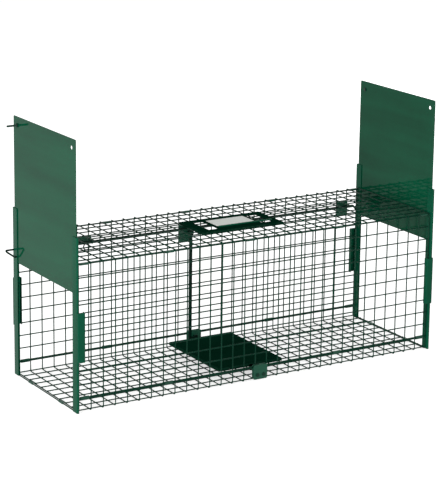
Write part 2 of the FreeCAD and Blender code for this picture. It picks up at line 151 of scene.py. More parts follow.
def coat(name, colour, gloss=0.2, specular=0.35, mottle=0.12, peel=1.0, wear=0.25, edge=0.35,
         bump=0.04 * MM, painted_reflection=0.0):
    """A powder-coated steel finish, rubbed where a piece's faces are marked as its rim.

    A low gloss number is a shinier coat; painted_reflection is how far level bands of painted
    reflection change its colour.
    """
    m = bpy.data.materials.new(name)
    m.use_nodes = True
    n, link = m.node_tree.nodes, m.node_tree.links.new
    shader = n["Principled BSDF"]
    shader.inputs["Specular IOR Level"].default_value = specular
    g = n.new("ShaderNodeGroup")
    g.node_tree = COAT
    rubbed = [min(1.0, c * 1.7 + 0.012) for c in colour]
    g.inputs["Coat"].default_value = (*colour, 1)
    g.inputs["Rubbed"].default_value = (*rubbed, 1)
    for key, value in (("Gloss", gloss), ("Mottle", mottle), ("Peel", peel), ("Wear", wear),
                       ("Painted reflection", painted_reflection)):
        g.inputs[key].default_value = value
    rim = n.new("ShaderNodeAttribute")
    rim.attribute_name = "rim"
    share = n.new("ShaderNodeMath")
    share.operation = "MULTIPLY"
    share.inputs[1].default_value = edge
    link(rim.outputs["Fac"], share.inputs[0])
    link(share.outputs[0], g.inputs["Edge"])
    raised = n.new("ShaderNodeBump")
    raised.inputs["Distance"].default_value = bump
    raised.inputs["Strength"].default_value = 1.0
    link(g.outputs["Height"], raised.inputs["Height"])
    link(raised.outputs["Normal"], shader.inputs["Normal"])
    link(g.outputs["Colour"], shader.inputs["Base Color"])
    link(g.outputs["Roughness"], shader.inputs["Roughness"])
    return m


def piece(name, verts, faces, material, body, replaces=(), rim=None, smooth=22):
    """A finished mesh: smooth but for its sharp edges, on its body, standing for its solids."""
    mesh = bpy.data.meshes.new(name)
    mesh.from_pydata([tuple(v) for v in verts], [], [tuple(f) for f in faces])
    if mesh.validate():
        print("mesh mended:", name)
    cleaner = bmesh.new()
    cleaner.from_mesh(mesh)
    bmesh.ops.recalc_face_normals(cleaner, faces=cleaner.faces)
    cleaner.to_mesh(mesh)
    cleaner.free()
    mesh.shade_smooth()
    mesh.set_sharp_from_angle(angle=math.radians(smooth))
    if rim is not None:
        marks = mesh.attributes.new("rim", "FLOAT", "FACE")
        for k, polygon in enumerate(mesh.polygons):
            marks.data[k].value = rim(polygon)
    mesh.materials.append(material)
    obj = bpy.data.objects.new(name, mesh)
    bpy.context.scene.collection.objects.link(obj)
    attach(obj, body)
    if replaces:
        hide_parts(*replaces)
    return obj


def ring_frame(direction):
    """Two directions square to a wire's run."""
    side = Z if abs(direction.z) < 0.9 else X
    u = direction.cross(side).normalized()
    return u, direction.cross(u).normalized()


def skin(rings, verts, faces):
    """Joins rings of equal length into a surface with its ends capped."""
    base, around = len(verts), len(rings[0])
    last = base + (len(rings) - 1) * around
    for ring in rings:
        verts.extend(ring)
    for a in range(base, last, around):
        b = a + around
        for k in range(around):
            n = (k + 1) % around
            faces.append((a + k, a + n, b + n, b + k))
    faces.append(tuple(base + k for k in reversed(range(around))))
    faces.append(tuple(last + k for k in range(around)))


def rounded(points, radius, steps=6):
    """A line's corners turned into arcs."""
    path = [points[0]]
    for before, p, after in zip(points, points[1:], points[2:]):
        a, b = (before - p), (after - p)
        half = a.angle(b) / 2
        if math.pi / 2 - half < 0.02:
            path.append(p)
            continue
        reach = min(radius / math.tan(half), 0.48 * a.length, 0.48 * b.length)
        r = reach * math.tan(half)
        a, b = a.normalized(), b.normalized()
        middle = (a + b).normalized()
        centre = p + middle * (r / math.sin(half))
        start, end = p + a * reach - centre, p + b * reach - centre
        turn = start.angle(end)
        for k in range(steps + 1):
            t = k / steps
            swung = start * math.sin((1 - t) * turn) + end * math.sin(t * turn)
            path.append(centre + swung / math.sin(turn))
    path.append(points[-1])
    return path


def wire(points, radius, verts, faces, sides=WIRE_SIDES, dome=0.35):
    """A round wire along a path, its cut ends slightly rounded by the coat."""
    end_flat = 0.72
    u, v = ring_frame((points[1] - points[0]).normalized())
    rings = []
    last = len(points) - 1
    for i, p in enumerate(points):
        ahead = points[i + 1] - p if i < last else p - points[i - 1]
        behind = p - points[i - 1] if i else ahead
        along = (ahead.normalized() + behind.normalized()).normalized()
        u = (u - along * u.dot(along)).normalized()
        v = along.cross(u)
        stretch = 1 / max(0.3, along.dot(ahead.normalized())) if 0 < i < last else 1
        ring = []
        for k in range(sides):
            t = (k + 0.5) * 2 * math.pi / sides
            ring.append(p + u * (radius * math.cos(t) * stretch) + v * (radius * math.sin(t)))
        if i == 0 and dome:
            rings.append([p + (q - p) * end_flat for q in ring])
            ring = [q + along * (radius * dome) for q in ring]
        if i == last and dome:
            rings.append([q - along * (radius * dome) for q in ring])
            ring = [p + (q - p) * end_flat for q in ring]
        rings.append(ring)
    skin(rings, verts, faces)


def weld_bead(at, normal, verts, faces, spread=1.45 * MM, depth=0.85 * MM):
    """The squeezed-out bead where two wires are welded across each other."""
    u, v = ring_frame(normal)
    rings = []
    for level in (-0.92, -0.55, 0.0, 0.55, 0.92):
        r = spread * math.sqrt(1 - level * level)
        ring = []
        for k in range(8):
            t = k * math.pi / 4
            around = u * (r * math.cos(t)) + v * (r * math.sin(t))
            ring.append(at + normal * (depth * level) + around)
        rings.append(ring)
    skin(rings, verts, faces)


MESH_GREEN = coat("mesh coat", (0.0022, 0.03, 0.0165), gloss=0.3, specular=0.05, mottle=0.1,
                  peel=0.6, wear=0.15)
columns = [-HALF_LONG + i * PITCH for i in range(LONG + 1)]
rows = [(j - WIDE / 2) * PITCH for j in range(1, WIDE)]
long_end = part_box("front_panel")[1].x - 0.03 * MM
long_y = HALF_WIDE - 2 * WIRE_R
weld_y = HALF_WIDE - WIRE_R
edge_line = long_y - 2 * WIRE_R - 0.3 * MM  # the top's outermost long wires
wall_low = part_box("front_panel")[0].z + WIRE_R
wall_top = wall_low + HIGH * PITCH
top_z = wall_top + 2 * WIRE_R
tray_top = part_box("floor_tray")[1].z - WIRE_R
floor_long_z = 3 * WIRE_R  # the floor's long wires lie on its cross wires


def long_wire(y, z, bead_y, bead_z, through, verts, faces):
    """A wire along the cage, with a weld bead at every cross wire."""
    wire([Vector((-long_end, y, z)), Vector((long_end, y, z))], COATED_R, verts, faces, dome=0)
    for x in columns:
        weld_bead(Vector((x, bead_y, bead_z)), through, verts, faces)


for name, side in (("front_panel", -1), ("back_panel", 1)):
    verts, faces = [], []
    for x in columns:
        wire([Vector((x, side * HALF_WIDE, wall_low - WIRE_R)),
              Vector((x, side * HALF_WIDE, wall_top + WIRE_R))], COATED_R, verts, faces)
    for k in range(HIGH + 1):
        z = wall_low + k * PITCH
        long_wire(side * long_y, z, side * weld_y, z, Y, verts, faces)
    piece(name.replace("panel", "wires"), verts, faces, MESH_GREEN, "cage", [name],
          smooth=50)

verts, faces = [], []
for x in columns:
    wire([Vector((x, -HALF_WIDE, top_z)), Vector((x, HALF_WIDE, top_z))], COATED_R, verts, faces)
for y in rows + [-edge_line, edge_line]:
    long_wire(y, wall_top, y, wall_top + WIRE_R, Z, verts, faces)
piece("top_wires", verts, faces, MESH_GREEN, "cage", ["top_panel"], smooth=50)

verts, faces = [], []
for x in columns:
    turn = [Vector((x, -HALF_WIDE, tray_top + WIRE_R)), Vector((x, -HALF_WIDE, WIRE_R)),
            Vector((x, HALF_WIDE, WIRE_R)), Vector((x, HALF_WIDE, tray_top + WIRE_R))]
    wire(rounded(turn, TRAY_BEND), WIRE_R, verts, faces)
for y in rows:
    long_wire(y, floor_long_z, y, 2 * WIRE_R, Z, verts, faces)
for side in (-1, 1):
    for z in (floor_long_z, tray_top):
        long_wire(side * long_y, z, side * weld_y, z, Y, verts, faces)
piece("tray_wires", verts, faces, MESH_GREEN, "cage", ["floor_tray"], smooth=50)


# Sills: a straight wire across each end of the floor, just under the door, that the lowered door
# rests over. It is cut from the same wire as the mesh and pushed into the guides' webs.

for name in ("left_sill", "right_sill"):
    low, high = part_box(name)
    x = (low.x + high.x) / 2
    verts, faces = [], []
    wire([Vector((x, low.y, WIRE_R)), Vector((x, high.y, WIRE_R))], WIRE_R, verts, faces)
    piece(name + "_wire", verts, faces, MESH_GREEN, "cage", [name], smooth=50)


# Wire clips: strips of thin sheet rolled round two neighbouring wires with hog-ring pliers, five
# along each top edge, four along each joint of tray and wall, and two on each sill.

CLIP_GREEN = coat("clip coat", (0.006, 0.05, 0.029), gloss=0.28, specular=0.18, wear=0.4)
CLIP_T, CLIP_LONG = 0.8 * MM, 18 * MM
CLIP_BEND, CLIP_SLIT = 1.05 * MM, 0.7 * MM
TOP_CLIP_CELLS = (0, 7, 14, 22, 30)
TRAY_CLIP_CELLS = (0, 7, 22, 30)
band = 2 * (WIRE_R + 0.15 * MM) + CLIP_T


def strip(path, thickness, u, v, start, run, edge=0.2 * MM):
    """A bent strip: a centre line in the plane of u and v, pulled from start along run."""
    sideways = []
    last = len(path) - 1
    for i in range(len(path)):
        a = (path[min(i + 1, last)] - path[max(i - 1, 0)]).normalized()
        sideways.append(Vector((-a.y, a.x)) * (thickness / 2))
    outer = [p + s for p, s in zip(path, sideways)]
    inner = [p - s for p, s in zip(path, sideways)]
    outline = outer + inner[::-1]
    middle = path + path[::-1]
    direction = run.normalized()
    verts, faces = [], []
    for along, pull in ((0, edge), (edge, 0), (run.length - edge, 0), (run.length, edge)):
        for p, q in zip(middle, outline):
            shrunk = p + (q - p) * (1 - pull / (thickness / 2))
            verts.append(start + u * shrunk.x + v * shrunk.y + direction * along)
    n = len(outline)
    for r in range(3):
        for k in range(n):
            after = (k + 1) % n
            faces.append((r * n + k, r * n + after, (r + 1) * n + after, (r + 1) * n + k))
    for r in (0, 3):
        for k in range(last):
            face = (r * n + k, r * n + k + 1, r * n + n - 2 - k, r * n + n - 1 - k)
            faces.append(face if r else face[::-1])
    return verts, faces


def flat_points(points, radius):
    """A bent strip's centre line on the flat, from its square corners."""
    bent = rounded([Vector((x, y, 0)) for x, y in points], radius)
    return [Vector((p.x, p.y)) for p in bent]


def rolled_loop(across, up):
    """A strip's centre line rolled round two wires, its ends nearly meeting under the middle."""
    w, h = across / 2, up / 2
    return flat_points([(CLIP_SLIT, -h), (w, -h), (w, h), (-w, h), (-w, -h), (-CLIP_SLIT, -h)],
                       CLIP_BEND)


def add(part, verts, faces):
    """Puts a made part into a larger mesh."""
    base = len(verts)
    verts.extend(part[0])
    faces.extend(tuple(base + k for k in f) for f in part[1])


verts, faces = [], []
for side in (-1, 1):
    for i in TOP_CLIP_CELLS:
        x = columns[i] + PITCH / 2 - CLIP_LONG / 2
        loop = rolled_loop(long_y - edge_line + band, band)
        centre = Vector((x, side * (long_y + edge_line) / 2, wall_top))
        add(strip(loop, CLIP_T, Y * side, Z, centre, X * CLIP_LONG), verts, faces)
    for i in TRAY_CLIP_CELLS:
        x = columns[i] + PITCH / 2 - CLIP_LONG / 2
        loop = rolled_loop(wall_low - tray_top + band, band)
        centre = Vector((x, side * long_y, (wall_low + tray_top) / 2))
        add(strip(loop, CLIP_T, Z, Y * side, centre, X * CLIP_LONG), verts, faces)
piece("wire_clips", verts, faces, CLIP_GREEN, "cage", ["edge_clips"])

SILL_CLIP_Y = 2.5 * PITCH
low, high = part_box("left_sill")
sill_x = abs(low.x + high.x) / 2
half = (sill_x - HALF_LONG + band) / 2
verts, faces = [], []
for side in (-1, 1):
    for y in (-SILL_CLIP_Y, SILL_CLIP_Y):
        line = flat_points([(half, -WIRE_R), (half, band / 2), (-half, band / 2),
                            (-half, -WIRE_R)], 1.0 * MM)
        centre = Vector((side * (sill_x + HALF_LONG) / 2, y - CLIP_LONG / 2, WIRE_R))
        add(strip(line, CLIP_T, X * side, Z, centre, Y * CLIP_LONG), verts, faces)
piece("sill_straps", verts, faces, CLIP_GREEN, "cage", ["sill_clips"])


# Door guides: a channel folded from 1 mm sheet stands at each corner, and the door slides in it.
# Its inner flange is spot-welded to the ends of the walls' long wires.

GUIDE_GREEN = coat("guide coat", (0.002, 0.066, 0.033), gloss=0.2, specular=0.05, mottle=0.1,
                   wear=0.35, edge=0.5)
SHEET = 1.0 * MM
GUIDE_BEND = 1.1 * MM
WALL_WELD, TRAY_WELD, GUIDE_WELD_DEPTH = 1.9 * MM, 1.7 * MM, 0.7 * MM
half = SHEET / 2
for name, sx, sy in (("guide_left_back", -1, 1), ("guide_left_front", -1, -1),
                     ("guide_right_back", 1, 1), ("guide_right_front", 1, -1)):
    low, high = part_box(name)
    x_in, x_out = sorted((abs(low.x), abs(high.x)))
    y_in, y_out = sorted((abs(low.y), abs(high.y)))
    line = flat_points([(x_in + half, y_in), (x_in + half, y_out - half),
                        (x_out - half, y_out - half), (x_out - half, y_in)], GUIDE_BEND)
    verts, faces = strip(line, SHEET, X * sx, Y * sy, Z * low.z, Z * (high.z - low.z))
    piece(name.replace("guide", "channel"), verts, faces, GUIDE_GREEN, "cage", [name])

welds = [(long_y, wall_low + k * PITCH, WALL_WELD) for k in range(HIGH + 1)]
welds += [(edge_line, wall_top, WALL_WELD), (long_y, floor_long_z, TRAY_WELD),
          (long_y, tray_top, TRAY_WELD)]
verts, faces = [], []
for sx in (-1, 1):
    for sy in (-1, 1):
        for y, z, spread in welds:
            weld_bead(Vector((sx * (long_end - 0.3 * MM), sy * y, z)), X, verts, faces,
                      spread, GUIDE_WELD_DEPTH)
piece("guide_welds", verts, faces, MESH_GREEN, "cage", smooth=50)


# Post clamps: a strip folded into a shallow box closes over the ends of the wall's wires on each
# guide, half way up. It is spot-welded to the guide's outer corner.

CLAMP_BEND = 1.6 * MM
CLAMP_REACH = 11 * MM  # how far it comes in over the wall from the guide
CLAMP_LIP_Y = 133.5 * MM
low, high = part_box("post_clamps")
x_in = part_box("guide_right_front")[0].x - CLAMP_REACH
for k, (sx, sy) in enumerate(((-1, 1), (1, 1), (-1, -1), (1, -1))):
    line = flat_points([(high.x - half, CLAMP_LIP_Y), (high.x - half, high.y - half),
                        (x_in + half, high.y - half),
                        (x_in + half, HALF_WIDE + WIRE_R + 0.3 * MM)], CLAMP_BEND)
    verts, faces = strip(line, SHEET, X * sx, Y * sy, Z * low.z, Z * (high.z - low.z))
    piece(f"clamp_cover_{k + 1}", verts, faces, GUIDE_GREEN, "cage", ["post_clamps"])


# Doors: each is one flat sheet of 1 mm steel, coated gloss green, raised in its guides. It has a
# hole in each top corner and a small one low down at the back, where the trigger rod's tip holds
# it up.

# The door coat's colour carries painted reflection: level bands, lighter and darker, across the
# sheet.
DOOR_GREEN = coat("door coat", (0.001, 0.06, 0.0275), gloss=0.04, specular=0.07, mottle=0.04,
                  peel=0.25, wear=0.05, edge=0.6, bump=0.05 * MM, painted_reflection=0.16)
DOOR_CORNER = 3 * MM
CORNER_HOLE, SCREW_HOLE, CATCH_HOLE = 7 * MM, 4.2 * MM, 5 * MM
CATCH_Y, CATCH_Z = 118 * MM, 238 * MM


def loop_offset(loop, d):
    """A closed loop moved to its left by d."""
    out = []
    n = len(loop)
    for i, p in enumerate(loop):
        a = (p - loop[i - 1]).normalized()
        b = (loop[(i + 1) % n] - p).normalized()
        na, nb = Vector((-a.y, a.x)), Vector((-b.y, b.x))
        m = na + nb
        out.append(p + m * (2 * d / m.length_squared) if m.length > 0.2 else p + na * d)
    return out


def plate(outline, holes, thickness, edge, place):
    """A sheet blank with rounded cut edges; place turns a flat point and a height into a point."""
    loops = [outline] + holes
    verts, faces = [], []
    steps = ((0, edge), (edge * 0.3, edge * 0.3), (edge, 0),
             (thickness - edge, 0), (thickness - edge * 0.3, edge * 0.3), (thickness, edge))
    starts = []
    for loop in loops:
        starts.append(len(verts))
        for height, pull in steps:
            verts.extend(place(q, height) for q in loop_offset(loop, pull))
        n = len(loop)
        for r in range(len(steps) - 1):
            a = starts[-1] + r * n
            for k in range(n):
                faces.append((a + k, a + (k + 1) % n, a + n + (k + 1) % n, a + n + k))
    for level in (0, len(steps) - 1):
        flat, index = [], []
        for s, loop in zip(starts, loops):
            n = len(loop)
            flat.append([Vector((q.x, q.y, 0)) for q in loop_offset(loop, edge)])
            index.extend(s + level * n + k for k in range(n))
        for tri in tessellate_polygon(flat):
            faces.append(tuple(index[t] for t in (tri if level else tri[::-1])))
    return verts, faces


def round_corners(x0, x1, y0, y1, radii, steps=6):
    """An anticlockwise rectangle; radii are for the corners from lower left round to upper left."""
    points = []
    corners = ((x0, y0, 1, 1, math.pi), (x1, y0, -1, 1, 1.5 * math.pi),
               (x1, y1, -1, -1, 0), (x0, y1, 1, -1, 0.5 * math.pi))
    for (x, y, dx, dy, turn), r in zip(corners, radii):
        if not r:
            points.append(Vector((x, y)))
            continue
        for k in range(steps + 1):
            a = turn + k / steps * math.pi / 2
            points.append(Vector((x + dx * r + r * math.cos(a), y + dy * r + r * math.sin(a))))
    return points


def hole(x, y, diameter, count=28):
    """A clockwise circle, so that its left is the metal."""
    circle = []
    for k in range(count):
        t = -2 * math.pi * k / count
        circle.append(Vector((x + diameter / 2 * math.cos(t), y + diameter / 2 * math.sin(t))))
    return circle


def rim_of(axis):
    """Marks the faces that aren't on a sheet's flats."""
    return lambda polygon: 0.0 if abs(polygon.normal.dot(axis)) > 0.97 else 1.0


low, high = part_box("left_lift_stud")
stud_y, stud_z = (low.y + high.y) / 2, (low.z + high.z) / 2
for name in ("left_door", "right_door"):
    low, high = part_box(name)
    outline = round_corners(low.y, high.y, low.z, high.z, (0, 0, DOOR_CORNER, DOOR_CORNER))
    cuts = [hole(-stud_y, stud_z, CORNER_HOLE), hole(stud_y, stud_z, SCREW_HOLE, 20),
            hole(CATCH_Y, CATCH_Z, CATCH_HOLE, 20)]
    verts, faces = plate(outline, cuts, high.x - low.x, 0.22 * MM,
                         lambda q, h: Vector((low.x + h, q.x, q.y)))
    piece(name + "_sheet", verts, faces, DOOR_GREEN, name + "_body", [name],
          rim=rim_of(X), smooth=12)


# Lift studs: a machine screw goes through each door's back top corner from the inside and is locked
# by a nut. Its long threaded end stands out as a finger hold for pulling the door up. Screw and nut
# are painted over.

SCREW_GREEN = coat("screw paint", (0.002, 0.024, 0.014), gloss=0.3, specular=0.12, mottle=0.2,
                   wear=0.5, bump=0.03 * MM)
HEX_ACROSS, HEAD_HIGH, STUD_NUT_HIGH = 7 * MM, 1.8 * MM, 3.2 * MM
STUD_SHANK, THREAD_PITCH = 3.95 * MM, 0.7 * MM


def hexagon_block(centre, axis, height):
    """A hexagon head or nut with its corners turned off at the free end."""
    u, v = ring_frame(axis)
    corner = HEX_ACROSS / math.sqrt(3)
    turned = HEX_ACROSS / 2 * 0.96
    bevel = height * 0.16

    def ring(level, cut):
        points = []
        for k in range(24):
            t = k * math.pi / 12
            off_flat = (t + math.pi / 6) % (math.pi / 3) - math.pi / 6
            r = min(math.cos(math.pi / 6) * corner / math.cos(off_flat), cut)
            points.append(centre + axis * level + u * (r * math.cos(t)) + v * (r * math.sin(t)))
        return points

    verts, faces = [], []
    skin([ring(0, corner), ring(height - bevel, corner),
          ring(height - bevel * 0.4, (corner + turned) / 2), ring(height, turned)], verts, faces)
    return verts, faces


def threaded(start, axis, length, diameter, sides=18):
    """A screw shank with its thread, chamfered at the tip."""
    u, v = ring_frame(axis)
    depth = THREAD_PITCH * 0.5
    levels = max(4, int(length / THREAD_PITCH * 6))
    rings = []
    for j in range(levels + 1):
        s = j / levels * length
        tip = max(0.0, 1 - (length - s) / (diameter * 0.18))
        ring = []
        for k in range(sides):
            t = 2 * math.pi * k / sides
            phase = (s / THREAD_PITCH - k / sides) % 1.0
            r = diameter / 2 - depth * abs(2 * phase - 1) * 0.85
            r = min(r, diameter / 2 * (1 - 0.22 * tip))
            ring.append(start + axis * s + u * (r * math.cos(t)) + v * (r * math.sin(t)))
        rings.append(ring)
    verts, faces = [], []
    skin(rings, verts, faces)
    return verts, faces


for side, name in ((-1, "left"), (1, "right")):
    door_low, door_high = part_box(name + "_door")
    inner, outer = (door_high.x, door_low.x) if side < 0 else (door_low.x, door_high.x)
    low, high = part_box(name + "_lift_stud")
    tip = low.x if side < 0 else high.x
    out = X * side
    seat = Vector((inner, stud_y, stud_z))
    verts, faces = [], []
    add(hexagon_block(seat, -out, HEAD_HIGH), verts, faces)
    add(threaded(seat, out, abs(tip - inner), STUD_SHANK), verts, faces)
    piece(name + "_lift_screw", verts, faces, SCREW_GREEN, name + "_door_body",
          [name + "_lift_stud"], smooth=40)
    verts, faces = hexagon_block(Vector((outer, stud_y, stud_z)), out, STUD_NUT_HIGH)
    piece(name + "_lift_nut", verts, faces, SCREW_GREEN, name + "_door_body",
          [name + "_stud_nut"], smooth=30)


# Treadle: the animal's weight on this pan trips the trap. It is one sheet with its four edges
# folded down, and an ear at the front and one at the back hang it on a plain steel axle.

# Painted shade: the treadle's colour is the doors' green coat made about three times darker,
# standing in for the dim light on its up-facing pan.
PAN_SHADED_GREEN = coat("treadle coat with painted shade", (0.0015, 0.021, 0.011), gloss=0.3, specular=0.0, mottle=0.12,
                 wear=0.3, edge=0.4)
ROD_GREEN = coat("rod coat", (0.001, 0.013, 0.0075), gloss=0.26, specular=0.06, wear=0.35)
PAN_DROP, PAN_BEND, PAN_CORNER = 6 * MM, 1.6 * MM, 1.5 * MM
EAR_HALF, EAR_CORNER, EAR_LOW = 9 * MM, 5 * MM, 1.5 * MM
AXLE_X, AXLE_Z, AXLE_R = -3 * MM, 17 * MM, 2.5 * MM


def folded_pan(x0, x1, y0, y1, top, drop, bend, corner, cuts=(), hem=0.25 * MM):
    """A sheet with its edges folded down all round, and any openings in its flat."""
    t = SHEET
    profile = []
    for k in range(7):
        a = k / 6 * math.pi / 2
        profile.append((bend * (1 - math.sin(a)), -bend * (1 - math.cos(a))))
    profile += [(0, hem - drop), (hem, -drop), (t - hem, -drop), (t, hem - drop)]
    inner = max(bend - t, 0.3 * MM)
    for k in range(5):
        a = (1 - k / 4) * math.pi / 2
        profile.append((t + inner * (1 - math.sin(a)), -t - inner * (1 - math.cos(a))))
    outline = round_corners(x0, x1, y0, y1, (corner,) * 4, 5)
    n = len(outline)
    verts, faces = [], []
    for inset, height in profile:
        verts.extend(Vector((q.x, q.y, top + height)) for q in loop_offset(outline, inset))
    for r in range(len(profile) - 1):
        for k in range(n):
            after = (k + 1) % n
            faces.append((r * n + k, r * n + n + k, r * n + n + after, r * n + after))
    starts = []
    for loop in cuts:
        starts.append(len(verts))
        m = len(loop)
        for height, pull in ((0, hem), (-hem, 0), (-(t - hem), 0), (-t, hem)):
            verts.extend(Vector((q.x, q.y, top + height)) for q in loop_offset(loop, pull))
        for r in range(3):
            a = starts[-1] + r * m
            for k in range(m):
                faces.append((a + k, a + (k + 1) % m, a + m + (k + 1) % m, a + m + k))
    for ring, level in ((0, 0), (len(profile) - 1, 3)):
        loops = [[ring * n + k for k in range(n)]]
        loops += [[s + level * len(loop) + k for k in range(len(loop))]
                  for s, loop in zip(starts, cuts)]
        index = [k for ids in loops for k in ids]
        flat = [[Vector((verts[k].x, verts[k].y, 0)) for k in ids] for ids in loops]
        for tri in tessellate_polygon(flat):
            faces.append(tuple(index[k] for k in tri))
    return verts, faces


low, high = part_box("treadle_pan")
verts, faces = folded_pan(low.x, high.x, low.y, high.y, high.z, PAN_DROP, PAN_BEND, PAN_CORNER)
for y in (low.y, high.y - SHEET):
    outline = round_corners(AXLE_X - EAR_HALF, AXLE_X + EAR_HALF, low.z, high.z - EAR_LOW,
                            (EAR_CORNER, EAR_CORNER, 0, 0))
    add(plate(outline, [], SHEET, 0.2 * MM, lambda q, h: Vector((q.x, y + h, q.y))), verts, faces)
piece("treadle_plate", verts, faces, PAN_SHADED_GREEN, "treadle", ["treadle_pan"],
      rim=rim_of(Z), smooth=20)

low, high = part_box("treadle_axle")
verts, faces = [], []
wire([Vector((AXLE_X, low.y, AXLE_Z)), Vector((AXLE_X, high.y, AXLE_Z))], AXLE_R, verts, faces,
     sides=20, dome=0.15)
piece("axle_rod", verts, faces, ROD_GREEN, "treadle", ["treadle_axle"], smooth=40)


# Axle brackets: inside each wall a small plate carries the axle, and two bolts pull it through the
# mesh against a plate outside, which also stops the axle's end.

BRACKET_GREEN = coat("bracket coat", (0.008, 0.065, 0.037), gloss=0.2, specular=0.15, wear=0.3,
                     edge=0.6)
BOLT_HOLE, AXLE_HOLE, BRACKET_CORNER = 4.1 * MM, 5.16 * MM, 3 * MM
BOLT_Z, BOLT_INSET, BOLT_SHANK = 10 * MM, 4.04 * MM, 3.9 * MM
BOLT_NUT_HIGH, BOLT_PAST_BRACKET = 3.1 * MM, 3.2 * MM
low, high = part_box("bracket_bolts")
bolt_x = (low.x + BOLT_INSET, high.x - BOLT_INSET)
for name, new in (("axle_bracket_back", "axle_bearing_back"),
                  ("axle_bracket_front", "axle_bearing_front"),
                  ("clamp_plate_back", "outer_plate_back"),
                  ("clamp_plate_front", "outer_plate_front")):
    low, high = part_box(name)
    cuts = [hole(x, BOLT_Z, BOLT_HOLE, 20) for x in bolt_x]
    if name.startswith("axle"):
        cuts.append(hole(AXLE_X, AXLE_Z, AXLE_HOLE))
    outline = round_corners(low.x, high.x, low.z, high.z, (BRACKET_CORNER,) * 4)
    verts, faces = plate(outline, cuts, high.y - low.y, 0.25 * MM,
                         lambda q, h: Vector((q.x, low.y + h, q.y)))
    piece(new, verts, faces, BRACKET_GREEN, "cage", [name], rim=rim_of(Y), smooth=12)

verts, faces = [], []
nut_verts, nut_faces = [], []
for side in (-1, 1):
    head_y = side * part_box("clamp_plate_back")[1].y
    nut_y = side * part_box("axle_bracket_back")[0].y
    tip_y = nut_y - side * BOLT_PAST_BRACKET
    out = Y * side
    for x in bolt_x:
        seat = Vector((x, head_y, BOLT_Z))
        add(hexagon_block(seat, out, HEAD_HIGH), verts, faces)
        add(threaded(seat, -out, abs(head_y - tip_y), BOLT_SHANK), verts, faces)
        add(hexagon_block(Vector((x, nut_y, BOLT_Z)), -out, BOLT_NUT_HIGH), nut_verts, nut_faces)
piece("plate_bolts", verts, faces, SCREW_GREEN, "cage", ["bracket_bolts"], smooth=30)
piece("plate_nuts", nut_verts, nut_faces, SCREW_GREEN, "cage", ["bracket_nuts"],
      smooth=30)


# Trigger lever: a flat strip riveted to the axle stands up along the back wall. The slot in its
# head pushes the rod's peg when the pan tips.

LEVER_X, ROD_Z = -17 * MM, 248 * MM
LEVER_HALF, LEVER_HEAD_HALF, LEVER_HEAD_R = 3 * MM, 6 * MM, 4 * MM
HEAD_UP, HEAD_DOWN, HEAD_TAPER = 8 * MM, 11 * MM, 5 * MM  # the head about the rod's height
EYE_R = 6 * MM
SLOT_HALF, SLOT_UP = 1.8 * MM, 3.7 * MM


def arc(x, z, radius, start, sweep, steps):
    """Points along an arc, anticlockwise."""
    angles = [start + k / steps * sweep for k in range(steps + 1)]
    return [Vector((x + radius * math.cos(a), z + radius * math.sin(a))) for a in angles]


low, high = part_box("trigger_lever")
left, right = LEVER_X - LEVER_HALF, LEVER_X + LEVER_HALF
head_left, head_right = LEVER_X - LEVER_HEAD_HALF, LEVER_X + LEVER_HEAD_HALF
shape = [Vector((right, AXLE_Z + LEVER_HALF)), Vector((right, ROD_Z - HEAD_DOWN - HEAD_TAPER)),
         Vector((head_right, ROD_Z - HEAD_DOWN))]
quarter = math.pi / 2
shape += arc(head_right - LEVER_HEAD_R, ROD_Z + HEAD_UP, LEVER_HEAD_R, 0, quarter, 8)
shape += arc(head_left + LEVER_HEAD_R, ROD_Z + HEAD_UP, LEVER_HEAD_R, quarter, quarter, 8)
shape += [Vector((head_left, ROD_Z - HEAD_DOWN)), Vector((left, ROD_Z - HEAD_DOWN - HEAD_TAPER)),
          Vector((left, AXLE_Z - LEVER_HALF))]
shape += arc(AXLE_X, AXLE_Z, EYE_R, math.radians(210), math.radians(300), 18)
slot = round_corners(LEVER_X - SLOT_HALF, LEVER_X + SLOT_HALF, ROD_Z - SLOT_UP, ROD_Z + SLOT_UP,
                     (0.8 * MM,) * 4, 4)[::-1]
verts, faces = plate(shape, [slot], high.y - low.y, 0.25 * MM,
                     lambda q, h: Vector((q.x, low.y + h, q.y)))
piece("lever_strip", verts, faces, ROD_GREEN, "treadle", ["trigger_lever"],
      rim=rim_of(Y), smooth=14)


# Trigger rod: one long steel rod bent cold. It runs inside the back wall through three guides,
# crosses to the outside at the left, hooks round the guide to hold the left door, and ends straight
# at the right door. A small block on it carries the peg that the lever pushes.

ROD_R, ROD_BEND = 1.75 * MM, 4.5 * MM
LEFT_TIP_X, RIGHT_TIP_X = -398.8 * MM, 397.2 * MM
HOOK_TURN_X, HOOK_X = -404.2 * MM, -416.5 * MM
PEG_R = 1.45 * MM
outside_y, outside_z = 130.15 * MM, 249.5 * MM
low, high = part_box("trigger_rod")
rod_y = (low.y + high.y) / 2
cross = (outside_y - rod_y) / math.tan(math.radians(60))
cross_x = columns[1] - WIRE_R - 0.3 * MM - ROD_R - 1.0 * MM
route = [Vector((LEFT_TIP_X, CATCH_Y, CATCH_Z)), Vector((HOOK_TURN_X, CATCH_Y, CATCH_Z)),
         Vector((HOOK_X, outside_y - 3.2 * MM, outside_z - 2.2 * MM)),
         Vector((HOOK_X, outside_y, outside_z)),
         Vector((cross_x - cross / 2, outside_y, outside_z)),
         Vector((cross_x + cross / 2, rod_y, ROD_Z)), Vector((HALF_LONG - 14 * MM, rod_y, ROD_Z)),
         Vector((HALF_LONG - 7 * MM, CATCH_Y, CATCH_Z)), Vector((RIGHT_TIP_X, CATCH_Y, CATCH_Z))]
verts, faces = [], []
wire(rounded(route, ROD_BEND), ROD_R, verts, faces, sides=16)
piece("trigger_rod_bent", verts, faces, ROD_GREEN, "trigger",
      ["rod_left_hook", "trigger_rod", "rod_right_end"], smooth=40)

